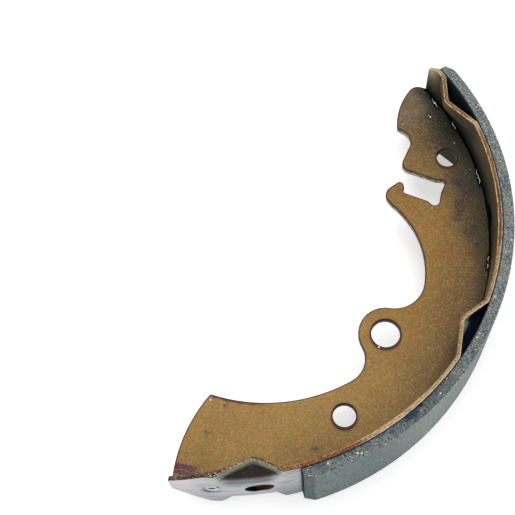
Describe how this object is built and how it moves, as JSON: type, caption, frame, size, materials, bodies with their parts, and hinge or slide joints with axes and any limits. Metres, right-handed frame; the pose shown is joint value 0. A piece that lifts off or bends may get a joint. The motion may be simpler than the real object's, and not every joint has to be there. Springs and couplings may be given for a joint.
{
  "type": "brake shoe",
  "caption": "Drum brake shoe: a flat pressed steel web with a strut slot, a hook and round holes, welded inside a curved steel rim that carries a bonded friction lining.",
  "frame": {"origin": "centre of the hold-down hole, on the mid-plane of the web", "axes": "+X points straight out of the drum axis through the hold-down hole to the lining, +Y towards the lever end that has the strut slot, +Z along the drum axis"},
  "size_m": [0.0838, 0.1845, 0.038],
  "materials": {
    "web_steel": "satin",
    "rim_steel": "satin",
    "friction_compound": "matte"
  },
  "bodies": {
    "root": {"web": "web_steel", "rim": "rim_steel", "lining": "friction_compound"}
  },
  "joints": []
}
